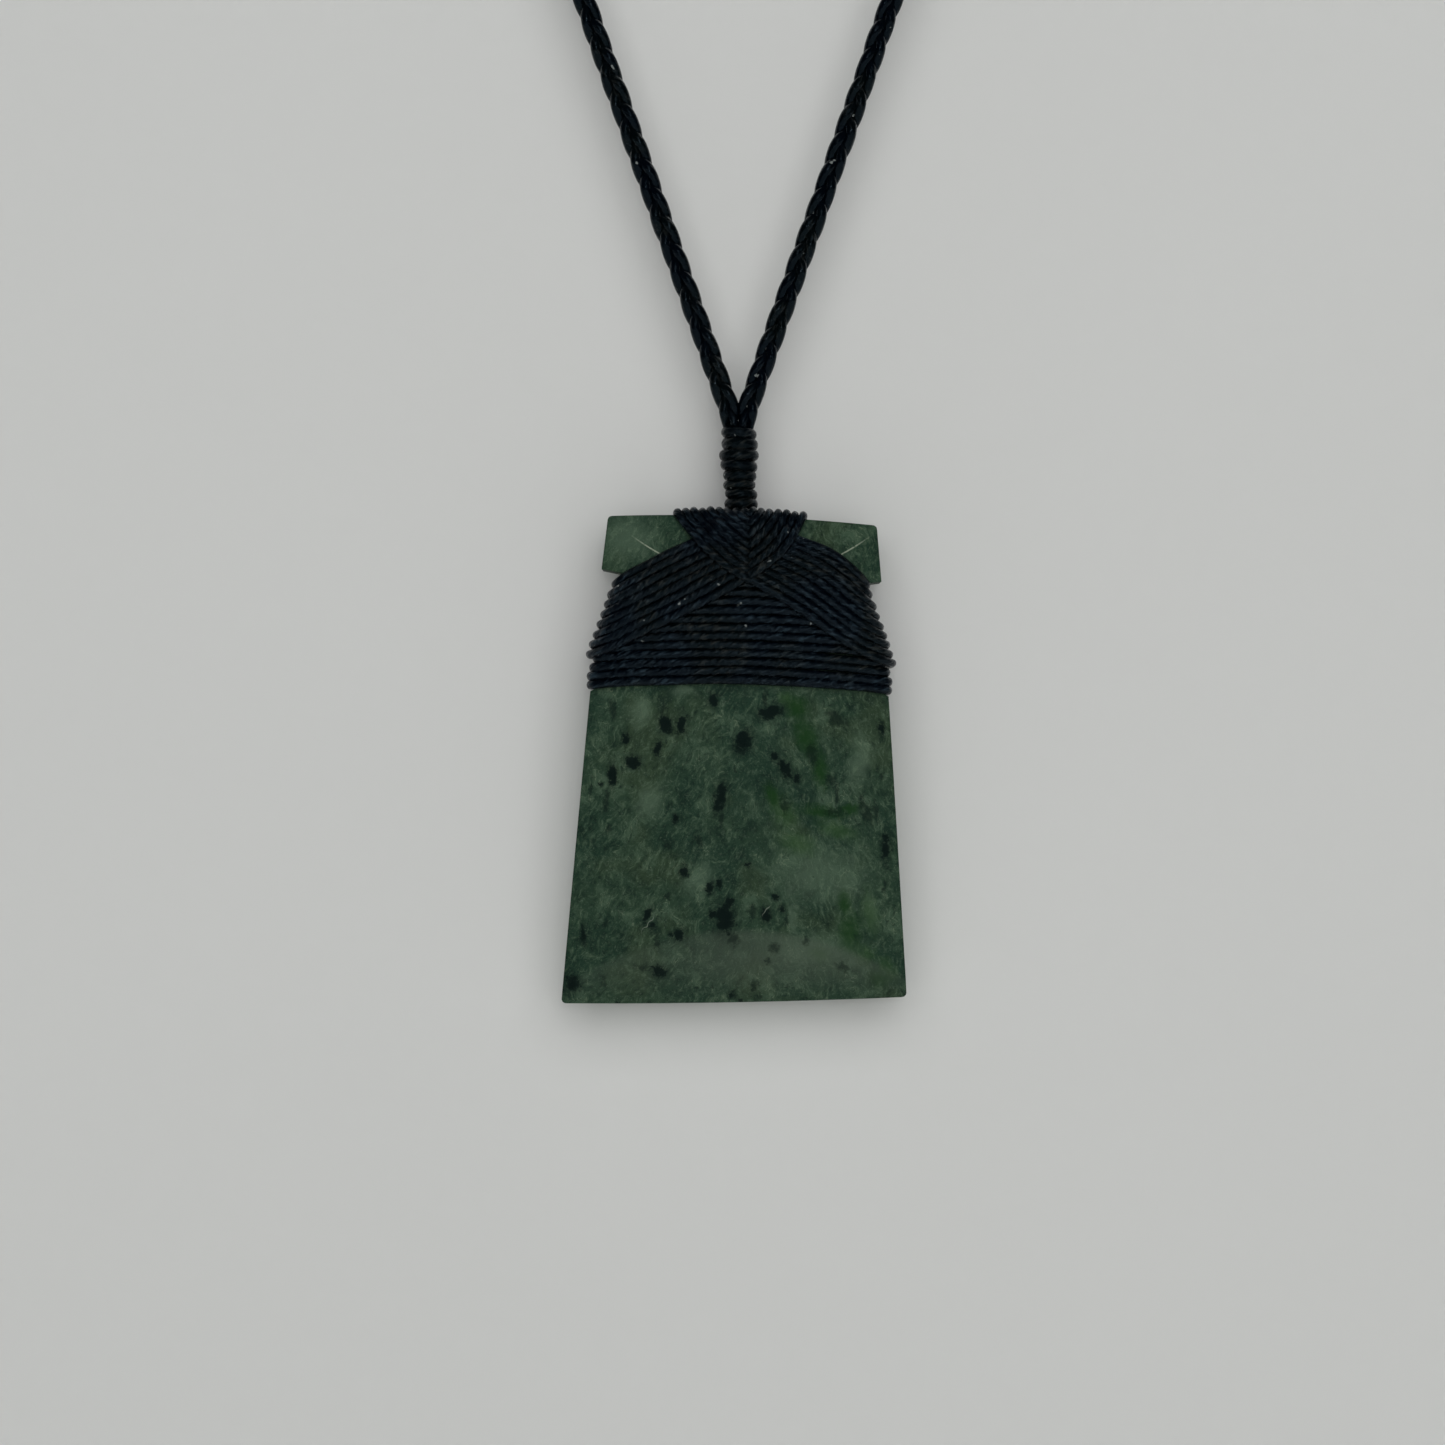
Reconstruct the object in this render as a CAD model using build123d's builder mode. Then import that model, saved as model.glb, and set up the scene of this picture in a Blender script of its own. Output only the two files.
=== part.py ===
from build123d import *
from collections import namedtuple
import math
import os

os.makedirs("parts", exist_ok=True)

# A greenstone adze pendant on a plaited neck cord. Sizes are in millimetres and angles in degrees.
# +X is to the right seen from the front, the front faces -Y and +Z is up.
# The origin is where the loop hangs: the underside of the clasp at the nape.

# Stone
stone_height = 56.3  # top edge to cutting edge, down the middle
stone_lean = 1.0  # the stone hangs turned this far clockwise, seen from the front
stone_shift = 0.3  # its middle lies this far right of the neck whipping
head_top_width = 31.1
head_width = 32.3  # at the foot of the head
head_height = 6.85  # top edge to the foot of the head
shoulder_rise = 0.5  # the underside of each shoulder climbs this much from waist to rim
waist_width = 25.8  # where the sides are ground in under the head
seat_width = 33.3  # the ground seat of the binding, at its foot
seat_drop = 20.3  # top edge to the ledge under the binding
ledge = 0.55  # step out from the seat to the blade's sides
edge_width = 40.0
top_slant = -1.05  # slopes of the top edge, the shoulders and the cutting edge
shoulder_slant = -1.6
edge_slant = 2.05
top_bow = 0.5  # the middle of the top edge lies this far above its corners
edge_bow = 0.25  # and the middle of the cutting edge this far below its corners
corner_radius = 0.5
front_half = 4.35  # middle plane to front face and to back face where the stone is fullest
back_half = 3.8
fullest_drop = 18.15  # top edge to the fullest place
long_radius = 340.0  # both faces curve this much from top to bottom
front_crown = 138.0  # and this much from side to side
back_crown = 200.0

# Facets ground on the stone, each from a thin end up to the face
blade_edge = 0.4  # half the thickness of the cutting edge
front_blade_depth = 8.3
back_blade_depth = 6.0
front_head_edge = 3.0  # middle plane to the front of the flat top, and to its back
back_head_edge = 2.9
front_head_depth = 7.0
back_head_depth = 5.0

# Binding, all of one waxed thread
thread = 1.0
gap = 0.06  # between the stone and a layer of thread, and between two layers
wrap_turns = 12
wrap_head_gap = 1.2  # foot of the head to the first turn of the waist wrap
wrap_foot_gap = 0.25  # last turn to the ledge
groove_share = 0.3  # grooves between turns, as a share of the thread

# Neck whipping, cord and clasp
whipping_turns = 8
whipping_height = 9.2
whipping_top_radius = 2.2
whipping_foot_radius = 1.95
whipping_gap = 0.14  # whipping to lashing
cord_diameter = 2.6
clasp_length = 20.0
clasp_radius = 2.3
clasp_rounding = 0.9

# Cord routes, chosen by hand: across, and height over the top of the neck whipping
right_route = [
    (1.45, 0.0),
    (1.45, 3.6),
    (17.8, 49.8),
    (32.4, 93.4),
    (43.2, 134.0),
    (44.6, 162.0),
    (38.7, 180.1),
    (29.2, 190.9),
    (18.2, 195.8),
    (10.0, 195.8),
]
left_route = [
    (-1.45, 0.0),
    (-1.45, 3.6),
    (-18.1, 49.6),
    (-33.0, 93.1),
    (-43.5, 133.6),
    (-44.5, 161.6),
    (-38.5, 179.9),
    (-29.1, 190.8),
    (-18.2, 195.8),
    (-10.0, 195.8),
]

# Levels that follow from the sizes
whipping_top = clasp_radius - right_route[-1][1]
whipping_foot = whipping_top - whipping_height
stone_top = whipping_foot - whipping_gap - gap - thread
blade_width = seat_width + 2 * ledge
wrap_top_drop = head_height + wrap_head_gap
wrap_foot_drop = seat_drop - wrap_foot_gap

# Outline of the stone as levels: half width, drop from the top edge, slope of the level
waist_drop = head_height + shoulder_rise
belly_drop = head_height + 0.86 * (seat_drop - head_height)
levels = [
    (head_top_width / 2, top_bow, top_slant),
    (head_width / 2, head_height, shoulder_slant),
    (waist_width / 2, waist_drop, shoulder_slant),
    (seat_width / 2, belly_drop, 0.0),
    (seat_width / 2, seat_drop, 0.0),
    (blade_width / 2, seat_drop, 0.0),
    (edge_width / 2, stone_height - edge_bow, edge_slant),
]
shank_levels = [(waist_width / 2, top_bow, top_slant)] + levels[2:]  # the same stone without its head

# Lashing, as seen from the front: across as a share of half the head's width, and drop from the top
# edge as a share of the seat's drop, on the left and on the right
LashingPoint = namedtuple("LashingPoint", "left left_drop right right_drop")
arm_top = LashingPoint(-0.495, -0.148, 0.464, -0.148)
arm_foot = LashingPoint(-0.344, 0.131, 0.409, 0.116)
fan_middle = LashingPoint(-0.613, 0.21, 0.656, 0.17)
fan_side = LashingPoint(-0.848, 0.328, 0.861, 0.313)
fan_rim = LashingPoint(-1.3, 0.377, 1.3, 0.377)
foot_rim = LashingPoint(-1.3, 0.876, 1.3, 0.876)
crossing = (0.019, 0.352)

# Planes of the leaning stone: its front view and its side view
lean = math.radians(stone_lean)
front_view = Plane(
    origin=(stone_shift, 0, stone_top),
    x_dir=(math.cos(lean), 0, -math.sin(lean)),
    z_dir=(0, -1, 0),
)
side_view = Plane(origin=front_view.origin, x_dir=(0, 1, 0), z_dir=front_view.x_dir)


def cross_view(drop):
    """The plane across the stone at this drop, with the back of the stone along its local y."""
    middle = front_view.origin - front_view.y_dir * drop
    return Plane(origin=middle, x_dir=front_view.x_dir, z_dir=front_view.y_dir)


def face_reach(half, drop):
    """From the middle plane to a face on the centre line, at this drop."""
    return half - long_radius + math.sqrt(long_radius**2 - (drop - fullest_drop) ** 2)


def crown_drop(half, crown, drop, across):
    """How far a face falls back towards its side, this far across."""
    radius = crown - half + face_reach(half, drop)
    return radius - math.sqrt(radius**2 - across**2)


def seat_half_width(drop):
    """Half the width of the binding's seat, at this drop."""
    share = (drop - waist_drop) / (belly_drop - waist_drop)
    share = min(max(share, 0.0), 1.0)
    return (waist_width + (seat_width - waist_width) * share) / 2


def facet_plane(drop, slant, inward, side, edge_half, half, depth, grow):
    """A facet through a slanted end edge, leaning out to the face this deep into the stone."""
    lean_out = math.atan((face_reach(half, drop + depth * -inward) - edge_half) / depth)
    slope = math.radians(slant)
    along = front_view.x_dir * math.cos(slope) + front_view.y_dir * math.sin(slope)
    up = front_view.y_dir * math.cos(slope) - front_view.x_dir * math.sin(slope)
    outward = front_view.z_dir * (side * math.cos(lean_out)) - up * (inward * math.sin(lean_out))
    edge = front_view.origin - front_view.y_dir * drop + front_view.z_dir * (side * edge_half)
    return Plane(origin=edge + outward * grow, x_dir=along, z_dir=outward)


def crowned_face(side, half, crown, grow):
    """Keeps what lies behind one crowned face. Side is 1 for the front and -1 for the back."""
    over = -grow - 10
    under = stone_height + grow + 10
    reach = half + grow
    axis_place = side * (crown - half)
    with BuildSketch(side_view) as profile:
        with BuildLine():
            face = ThreePointArc(
                (-side * (face_reach(half, over) + grow), -over),
                (-side * reach, -fullest_drop),
                (-side * (face_reach(half, under) + grow), -under),
            )
            Polyline(face @ 1, (axis_place, -under), (axis_place, -over), face @ 0)
        make_face()
    axis = Axis(front_view.origin + Vector(0, axis_place, 0), front_view.y_dir)
    revolve(profile.sketch, axis=axis, mode=Mode.INTERSECT)


def stone_body(grow, rows):
    """The stone with these levels, with a skin this thick all over it."""
    with BuildPart() as body:
        with BuildSketch(front_view) as outline:
            right = [(half, -drop + half * math.tan(math.radians(slope))) for half, drop, slope in rows]
            left = [(-half, -drop - half * math.tan(math.radians(slope))) for half, drop, slope in rows]
            with BuildLine():
                Polyline(right)
                ThreePointArc(right[-1], (0, -stone_height), left[-1])
                Polyline(left[::-1])
                ThreePointArc(left[0], (0, 0), right[0])
            make_face()
            ends = outline.vertices().sort_by(Axis.Y)
            fillet(ends[:2] + ends[-2:], radius=corner_radius)
            if grow > 0:
                offset(amount=grow, kind=Kind.INTERSECTION, mode=Mode.REPLACE)
        extrude(amount=front_half + back_half, both=True)
        crowned_face(1, front_half, front_crown, grow)
        crowned_face(-1, back_half, back_crown, grow)
        facets = [
            (top_bow, top_slant, -1, 1, front_head_edge, front_half, front_head_depth),
            (top_bow, top_slant, -1, -1, back_head_edge, back_half, back_head_depth),
            (stone_height - edge_bow, edge_slant, 1, 1, blade_edge, front_half, front_blade_depth),
            (stone_height - edge_bow, edge_slant, 1, -1, blade_edge, back_half, back_blade_depth),
        ]
        for facet in facets:
            split(bisect_by=facet_plane(*facet, grow), keep=Keep.BOTTOM)
    return body.part


def seat_section(drop, grow):
    """The stone's section in the binding's seat, with a skin this thick."""
    half_width = seat_half_width(drop)
    front = -face_reach(front_half, drop)
    back = face_reach(back_half, drop)
    front_side = front + crown_drop(front_half, front_crown, drop, half_width)
    back_side = back - crown_drop(back_half, back_crown, drop, half_width)
    with BuildSketch(cross_view(drop)) as section:
        with BuildLine():
            ThreePointArc((-half_width, front_side), (0, front), (half_width, front_side))
            Line((half_width, front_side), (half_width, back_side))
            ThreePointArc((half_width, back_side), (0, back), (-half_width, back_side))
            Line((-half_width, back_side), (-half_width, front_side))
        make_face()
        offset(amount=grow, kind=Kind.ARC, mode=Mode.REPLACE)
    return section.sketch


# Stone
with BuildPart() as adze_blade:
    add(stone_body(0, levels))
adze_blade.part.label = "adze_blade"
export_step(adze_blade.part, "parts/adze_blade.step")

# Waist wrap: turns of thread laid side by side round the seat
stone_room = stone_body(gap, levels)
turn_pitch = (wrap_foot_drop - wrap_top_drop) / wrap_turns
groove_height = gap + thread * (1 - groove_share)
wrap_sections = [seat_section(wrap_top_drop, groove_height)]
for turn in range(wrap_turns):
    wrap_sections.append(seat_section(wrap_top_drop + (turn + 0.5) * turn_pitch, gap + thread))
    wrap_sections.append(seat_section(wrap_top_drop + (turn + 1) * turn_pitch, groove_height))
with BuildPart() as waist_wrap:
    loft(wrap_sections, ruled=True)
    add(stone_room, mode=Mode.SUBTRACT)
waist_wrap.part.label = "waist_wrap"
export_step(waist_wrap.part, "parts/waist_wrap.step")

# Cross lashing: two fans of thread from the top edge round the sides, crossed in a V on each face
layer = thread + gap
split_drop = head_height - 0.2  # above it the lashing lies on the head, below it on the waist wrap
arms_drop = 1.5  # the arms of the V lie over the fans from here down


def place(across, drop):
    """A point of the lashing in the front view."""
    return (across * head_width / 2, -drop * seat_drop)


def left_place(point):
    return place(point.left, point.left_drop)


def right_place(point):
    return place(point.right, point.right_drop)


def lashing_outline():
    """Both fans and both arms, run out past the sides of the stone."""
    with BuildSketch(front_view) as outline:
        with BuildLine():
            ThreePointArc(left_place(arm_foot), left_place(fan_middle), left_place(fan_side))
            Polyline(left_place(fan_side), left_place(fan_rim), left_place(foot_rim), place(*crossing))
            Polyline(place(*crossing), right_place(foot_rim), right_place(fan_rim), right_place(fan_side))
            ThreePointArc(right_place(fan_side), right_place(fan_middle), right_place(arm_foot))
            Polyline(right_place(arm_foot), right_place(arm_top), left_place(arm_top), left_place(arm_foot))
        make_face()
    return outline.sketch


def arms_outline():
    """The V between the two arms."""
    with BuildSketch(front_view) as outline:
        with BuildLine():
            Polyline(left_place(arm_top), left_place(arm_foot), place(*crossing), right_place(arm_foot))
            Polyline(right_place(arm_foot), right_place(arm_top), left_place(arm_top))
        make_face()
    return outline.sketch


def lashing_layer(outline, outer, highest, lowest):
    """What one layer of thread holds behind an outline, between two drops."""
    with BuildPart() as threads:
        extrude(outline, amount=front_half + back_half + 2 * layer, both=True)
        add(outer, mode=Mode.INTERSECT)
        split(bisect_by=cross_view(highest), keep=Keep.BOTTOM)
        split(bisect_by=cross_view(lowest), keep=Keep.TOP)
    return threads.part


head_threads = lashing_layer(lashing_outline(), stone_body(layer, levels), -2 * layer, split_drop)
arm_threads = lashing_layer(arms_outline(), stone_body(2 * layer, levels), arms_drop, seat_drop)
side_threads = lashing_layer(
    lashing_outline(),
    stone_body(2 * layer, shank_levels),
    split_drop - gap,
    seat_drop,
)
with BuildPart() as wrap_room:
    add(stone_body(layer + gap, shank_levels))
    split(bisect_by=cross_view(wrap_top_drop - gap), keep=Keep.BOTTOM)
with BuildPart() as cross_lashing:
    add(head_threads)
    add(arm_threads)
    add(side_threads)
    add(stone_room, mode=Mode.SUBTRACT)
    add(wrap_room.part, mode=Mode.SUBTRACT)
cross_lashing.part.label = "cross_lashing"
export_step(cross_lashing.part, "parts/cross_lashing.step")

# Neck whipping: a collar of thread wound tight round both ends of the neck cord
turn_height = whipping_height / whipping_turns


def whipping_radius(turn):
    """The radius over the thread, at this many turns from the foot."""
    share = turn / whipping_turns
    return whipping_foot_radius + (whipping_top_radius - whipping_foot_radius) * share


with BuildPart() as neck_whipping:
    with BuildSketch(Plane.XZ):
        with BuildLine():
            groove = groove_share * thread
            for turn in range(whipping_turns):
                ThreePointArc(
                    (whipping_radius(turn) - groove, whipping_foot + turn * turn_height),
                    (whipping_radius(turn + 0.5), whipping_foot + (turn + 0.5) * turn_height),
                    (whipping_radius(turn + 1) - groove, whipping_foot + (turn + 1) * turn_height),
                )
            Polyline(
                (whipping_radius(whipping_turns) - groove, whipping_top),
                (0, whipping_top),
                (0, whipping_foot),
                (whipping_radius(0) - groove, whipping_foot),
            )
        make_face()
    revolve(axis=Axis.Z)
neck_whipping.part.label = "neck_whipping"
export_step(neck_whipping.part, "parts/neck_whipping.step")


def cord_tube(route):
    """A plain tube along straight runs joined by arcs as large as the runs allow."""
    points = [Vector(across, 0, whipping_top + height) for across, height in route]
    radii = []
    for before, corner, after in zip(points, points[1:], points[2:]):
        turn = math.radians((corner - before).get_angle(after - corner))
        shorter = min((corner - before).length, (after - corner).length)
        radii.append(0.45 * shorter / math.tan(turn / 2))
    with BuildPart() as tube:
        with BuildLine() as line:
            FilletPolyline(*points, radius=radii)
        path = line.wires()[0]
        with BuildSketch(Plane(origin=path @ 0, z_dir=path % 0)):
            Circle(cord_diameter / 2)
        sweep(path=path)
    expected = math.pi * (cord_diameter / 2) ** 2 * path.length
    print("arc radii", [round(radius, 1) for radius in radii])
    print("length", round(path.length, 1), "volume over section x length", tube.part.volume / expected)
    return tube.part


# Neck cord: two plaited ends from the neck whipping up to the clasp
with BuildPart() as neck_cord_left:
    add(cord_tube(left_route))
neck_cord_left.part.label = "neck_cord_left"
export_step(neck_cord_left.part, "parts/neck_cord_left.step")

with BuildPart() as neck_cord_right:
    add(cord_tube(right_route))
neck_cord_right.part.label = "neck_cord_right"
export_step(neck_cord_right.part, "parts/neck_cord_right.step")

# Nape clasp: a plain barrel that the two ends of the cord go into
with BuildPart() as nape_clasp:
    with BuildSketch(Plane.YZ):
        with Locations((0, clasp_radius)):
            Circle(clasp_radius)
    extrude(amount=clasp_length / 2, both=True)
    fillet(nape_clasp.edges().filter_by(GeomType.CIRCLE), radius=clasp_rounding)
nape_clasp.part.label = "nape_clasp"
export_step(nape_clasp.part, "parts/nape_clasp.step")
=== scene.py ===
import math
from collections import namedtuple

import bmesh
import bpy
import numpy as np
from mathutils import Matrix, Vector


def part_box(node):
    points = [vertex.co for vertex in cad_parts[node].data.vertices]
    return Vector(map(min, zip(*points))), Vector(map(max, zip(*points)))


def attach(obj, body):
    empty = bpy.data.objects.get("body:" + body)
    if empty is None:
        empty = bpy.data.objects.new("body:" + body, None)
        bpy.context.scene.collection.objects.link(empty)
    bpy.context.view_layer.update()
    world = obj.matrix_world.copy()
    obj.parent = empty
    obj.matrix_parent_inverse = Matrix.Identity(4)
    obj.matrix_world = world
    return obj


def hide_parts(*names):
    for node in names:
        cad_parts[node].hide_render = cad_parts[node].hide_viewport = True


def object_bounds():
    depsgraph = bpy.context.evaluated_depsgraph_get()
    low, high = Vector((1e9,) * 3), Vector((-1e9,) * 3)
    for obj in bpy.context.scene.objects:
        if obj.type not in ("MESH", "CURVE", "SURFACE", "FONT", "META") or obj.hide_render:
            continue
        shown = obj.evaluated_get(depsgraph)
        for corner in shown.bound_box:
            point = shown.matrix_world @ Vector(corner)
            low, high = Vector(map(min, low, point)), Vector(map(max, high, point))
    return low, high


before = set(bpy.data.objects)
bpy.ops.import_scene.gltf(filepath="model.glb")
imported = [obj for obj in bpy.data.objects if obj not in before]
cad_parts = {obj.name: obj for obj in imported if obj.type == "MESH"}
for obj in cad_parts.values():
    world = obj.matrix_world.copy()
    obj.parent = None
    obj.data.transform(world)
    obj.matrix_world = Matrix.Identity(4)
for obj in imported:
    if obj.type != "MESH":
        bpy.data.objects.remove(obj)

# A greenstone adze pendant lashed with waxed thread to a plaited neck cord, hung up by its clasp.
# Sizes are in millimetres and angles are given in degrees. A finished piece is in metres.
# The stone's own view has across and up in the plane of its face, from the middle of its top edge,
# and a drop goes down from there.

cad_low, cad_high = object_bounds()
mm = 0.001  # in metres

# Stone
stone_height = 56.3
stone_lean = math.radians(1.0)
stone_shift = 0.3
head_top_width = 31.1
head_width = 32.3
head_height = 6.85
shoulder_rise = 0.5
waist_width = 25.8
seat_width = 33.3
seat_drop = 20.3  # the foot of the binding's seat
belly_share = 0.86  # of the way down to it, where the seat has its full width
ledge = 0.55  # from the seat out to the blade
ledge_start = 0.1  # over the seat's foot
ledge_end = 0.2  # under the seat's foot
edge_width = 40.0
top_slant = math.radians(-1.05)
shoulder_slant = math.radians(-1.6)
edge_slant = math.radians(2.05)
top_bow = 0.5  # how far the top edge stands out in the middle
edge_bow = 0.25  # and the cutting edge
corner_radius = 0.5
fullest_drop = 18.15  # where the stone is thickest
long_radius = 340.0  # of both faces, along the stone
blade_edge = 0.4  # from the middle plane to a face at the cutting edge
arris = 0.3  # width of the rounded edges
rim_angle = math.radians(35)  # an edge that turns by more than this is rounded

# A face: its reach from the middle plane where it is fullest, its radius across, its reach at the
# top edge, and the heights of its ground facets at the head and at the cutting edge
Face = namedtuple("Face", "half crown head_edge head_facet blade_facet")
front_face = Face(4.35, 138.0, 3.0, 7.0, 8.3)
back_face = Face(3.8, 200.0, 2.9, 5.0, 6.0)
head_easing = 0.05  # how softly the facets run into the face
blade_easing = 0.06

# Threads and cord
thread = 1.0
pressed = 0.85  # how thick a thread lies for its width
swell = 0.05  # how much thicker or thinner it gets
gap = 0.06  # between the stone and the thread on it
first_layer = gap + thread / 2  # from the stone to the middle of that thread
wrap_turns = 12
wrap_head_drop = 7.85
wrap_foot_drop = 20.25
whipping_height = 9.2
whipping_gap = 0.14  # between the whipping and the lashing

# Cord routes: across, and height over the top of the neck whipping
right_route = [
    (0.68, 0.0),
    (0.76, 1.6),
    (1.7, 4.6),
    (17.8, 49.8),
    (32.4, 93.4),
    (43.2, 134.0),
    (44.6, 162.0),
    (38.7, 180.1),
    (29.2, 190.9),
    (18.2, 195.8),
    (10.0, 195.8),
]
left_route = [
    (-0.98, 0.0),
    (-1.1, 1.6),
    (-2.05, 4.6),
    (-18.1, 49.6),
    (-33.0, 93.1),
    (-43.5, 133.6),
    (-44.5, 161.6),
    (-38.5, 179.9),
    (-29.1, 190.8),
    (-18.2, 195.8),
    (-10.0, 195.8),
]
route_steps = 24  # of a spline, from one point to the next

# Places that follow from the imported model
whipping_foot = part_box("neck_whipping")[0].z / mm
whipping_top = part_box("neck_whipping")[1].z / mm
stone_top = whipping_foot - whipping_gap - gap - thread
waist_drop = head_height + shoulder_rise
belly_drop = head_height + belly_share * (seat_drop - head_height)
blade_width = seat_width + 2 * ledge
edge_drop = stone_height - edge_bow  # of the cutting edge's ends
stone_origin = (stone_shift * mm, 0, stone_top * mm)
stone_place = (
    Matrix.Translation(stone_origin)
    @ Matrix.Rotation(stone_lean, 4, "Y")
    @ Matrix.Scale(mm, 4)
)
chance = np.random.RandomState(7)


# The form of the stone's faces

def face_reach(face, drop):
    """From the middle plane to a face on the centre line."""
    return face.half - long_radius + np.sqrt(long_radius**2 - (drop - fullest_drop) ** 2)


def crown_drop(face, drop, across):
    """How far a face falls back towards its side."""
    radius = face.crown - face.half + face_reach(face, drop)
    return radius - np.sqrt(radius**2 - across**2)


def facet_foot(height, end):
    """The drop at which a ground facet that starts at this end of the stone meets its face."""
    return end + height if end < fullest_drop else end - height


def facet_reach(face, edge, height, end, distance):
    """From the middle plane to a ground facet, this far in from its thin edge."""
    return edge + (face_reach(face, facet_foot(height, end)) - edge) * distance / height


def under_top(across, up):
    """How far a place lies under the line between the top edge's ends."""
    return across * math.tan(top_slant) - top_bow - up


def over_edge(across, up):
    """How far a place lies over the line between the cutting edge's ends."""
    return edge_drop - across * math.tan(edge_slant) + up


def soft_least(first, second, width):
    """The lesser of two values, eased where they are within this width of each other."""
    ease = np.clip(0.5 + 0.5 * (second - first) / width, 0, 1)
    return second + (first - second) * ease - width * ease * (1 - ease) * 0.5


def stone_reach(side, across, up):
    """From the middle plane to the front, side 1, or the back, side -1."""
    face = front_face if side > 0 else back_face
    reach = face_reach(face, -up) - crown_drop(face, -up, across)
    head = facet_reach(face, face.head_edge, face.head_facet, top_bow, under_top(across, up))
    blade = facet_reach(face, blade_edge, face.blade_facet, edge_drop, over_edge(across, up))
    return soft_least(soft_least(reach, head, head_easing), blade, blade_easing)


# Pieces

def smooth_mesh(shape, name):
    """The mesh that a bmesh holds, shaded smooth."""
    for face in shape.faces:
        face.smooth = True
    mesh = bpy.data.meshes.new(name)
    shape.to_mesh(mesh)
    shape.free()
    return mesh


def placed(name, data):
    """A new object in the scene."""
    made = bpy.data.objects.new(name, data)
    bpy.context.scene.collection.objects.link(made)
    return made


def piece(name, mesh, finish):
    """A finished object at the origin, riding on the one body."""
    mesh.name = name
    mesh.materials.clear()
    mesh.materials.append(finish)
    made = placed(name, mesh)
    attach(made, "root")
    return made


def curve_mesh(curve):
    """The mesh of a curve, which is then removed."""
    holder = bpy.data.objects.new(curve.name, curve)
    mesh = bpy.data.meshes.new_from_object(holder)
    bpy.data.objects.remove(holder)
    bpy.data.curves.remove(curve)
    return mesh


def smooth_line(points, order):
    """Places along the NURBS spline that has these control points."""
    curve = bpy.data.curves.new("route", "CURVE")
    curve.dimensions = "3D"
    spline = curve.splines.new("NURBS")
    spline.points.add(len(points) - 1)
    for control, point in zip(spline.points, points):
        control.co = (*point, 1)
    spline.order_u = order
    spline.use_endpoint_u = True
    spline.resolution_u = route_steps
    mesh = curve_mesh(curve)
    line = np.array([vertex.co for vertex in mesh.vertices])
    bpy.data.meshes.remove(mesh)
    return line


def travelled(line):
    """Distance from the start of a line to each of its points."""
    return np.concatenate([[0], np.cumsum(np.linalg.norm(np.diff(line, axis=0), axis=1))])


def even(line, step, closed=False):
    """The same line with its points evenly spaced."""
    if closed:
        line = np.vstack([line, line[:1]])
    way = travelled(line)
    count = max(int(round(way[-1] / step)), 3)
    places = np.linspace(0, way[-1], count + 1)
    if closed:
        places = places[:-1]
    return np.stack([np.interp(places, way, line[:, axis]) for axis in range(line.shape[1])], axis=1)


def wander(count, every, reach, closed=False):
    """Small random shifts along a line of this many points, with a new one every so many."""
    knots = max(int(count / every), 3)
    values = chance.uniform(-reach, reach, knots + 1)
    if closed:
        values[-1] = values[0]
    return np.interp(np.linspace(0, knots, count), np.arange(knots + 1), values)


def outwards(loop):
    """The directions away from the middle of a flat loop, square to its line."""
    ahead = np.roll(loop, -1, axis=0) - np.roll(loop, 1, axis=0)
    ahead /= np.linalg.norm(ahead, axis=1)[:, None]
    away = loop - loop.mean(axis=0)
    away -= (away * ahead).sum(axis=1)[:, None] * ahead
    return away / np.linalg.norm(away, axis=1)[:, None]


def press(mesh, run, away, sides):
    """Flattens a thread along its directions away. Each capped end is a ring of vertices more."""
    ends = [0, -1][:(len(mesh.vertices) - len(run) * sides) // sides]
    middles = np.repeat(np.concatenate([run, run[ends]]) * mm, sides, axis=0)
    normals = np.repeat(np.concatenate([away, away[ends]]), sides, axis=0)
    places = np.array([vertex.co for vertex in mesh.vertices])
    out = ((places - middles) * normals).sum(axis=1)[:, None]
    mesh.vertices.foreach_set("co", (places - (1 - pressed) * out * normals).ravel())


def wound(name, runs, radius, finish, closed=True, sides=12, aways=None):
    """Round threads along runs of points. Their UV maps are in millimetres, along and around."""
    shell = bmesh.new()
    offset = 0.0
    for index, run in enumerate(runs):
        curve = bpy.data.curves.new(name, "CURVE")
        curve.dimensions = "3D"
        curve.bevel_depth = 1.0
        curve.bevel_resolution = sides // 2 - 2
        curve.use_fill_caps = not closed
        spline = curve.splines.new("POLY")
        spline.points.add(len(run) - 1)
        thickness = radius if np.ndim(radius) else np.full(len(run), radius)
        swollen = thickness * (1 + wander(len(run), 5, swell, closed))
        for control, place, half in zip(spline.points, run, swollen):
            control.co = (*(place * mm), 1)
            control.radius = half * mm
        spline.use_cyclic_u = closed
        spline.use_smooth = True
        mesh = curve_mesh(curve)
        if aways:
            press(mesh, run, aways[index], sides)
        length = travelled(run)[-1]
        around = 2 * math.pi * float(np.mean(thickness))
        uv = np.zeros(len(mesh.loops) * 2)
        mesh.uv_layers[0].data.foreach_get("uv", uv)
        uv = uv.reshape(-1, 2) * (length, around) + (offset, 0)
        mesh.uv_layers[0].data.foreach_set("uv", uv.ravel())
        shell.from_mesh(mesh)
        offset += length
        bpy.data.meshes.remove(mesh)
    return piece(name, smooth_mesh(shell, name), finish)


# Materials

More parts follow.
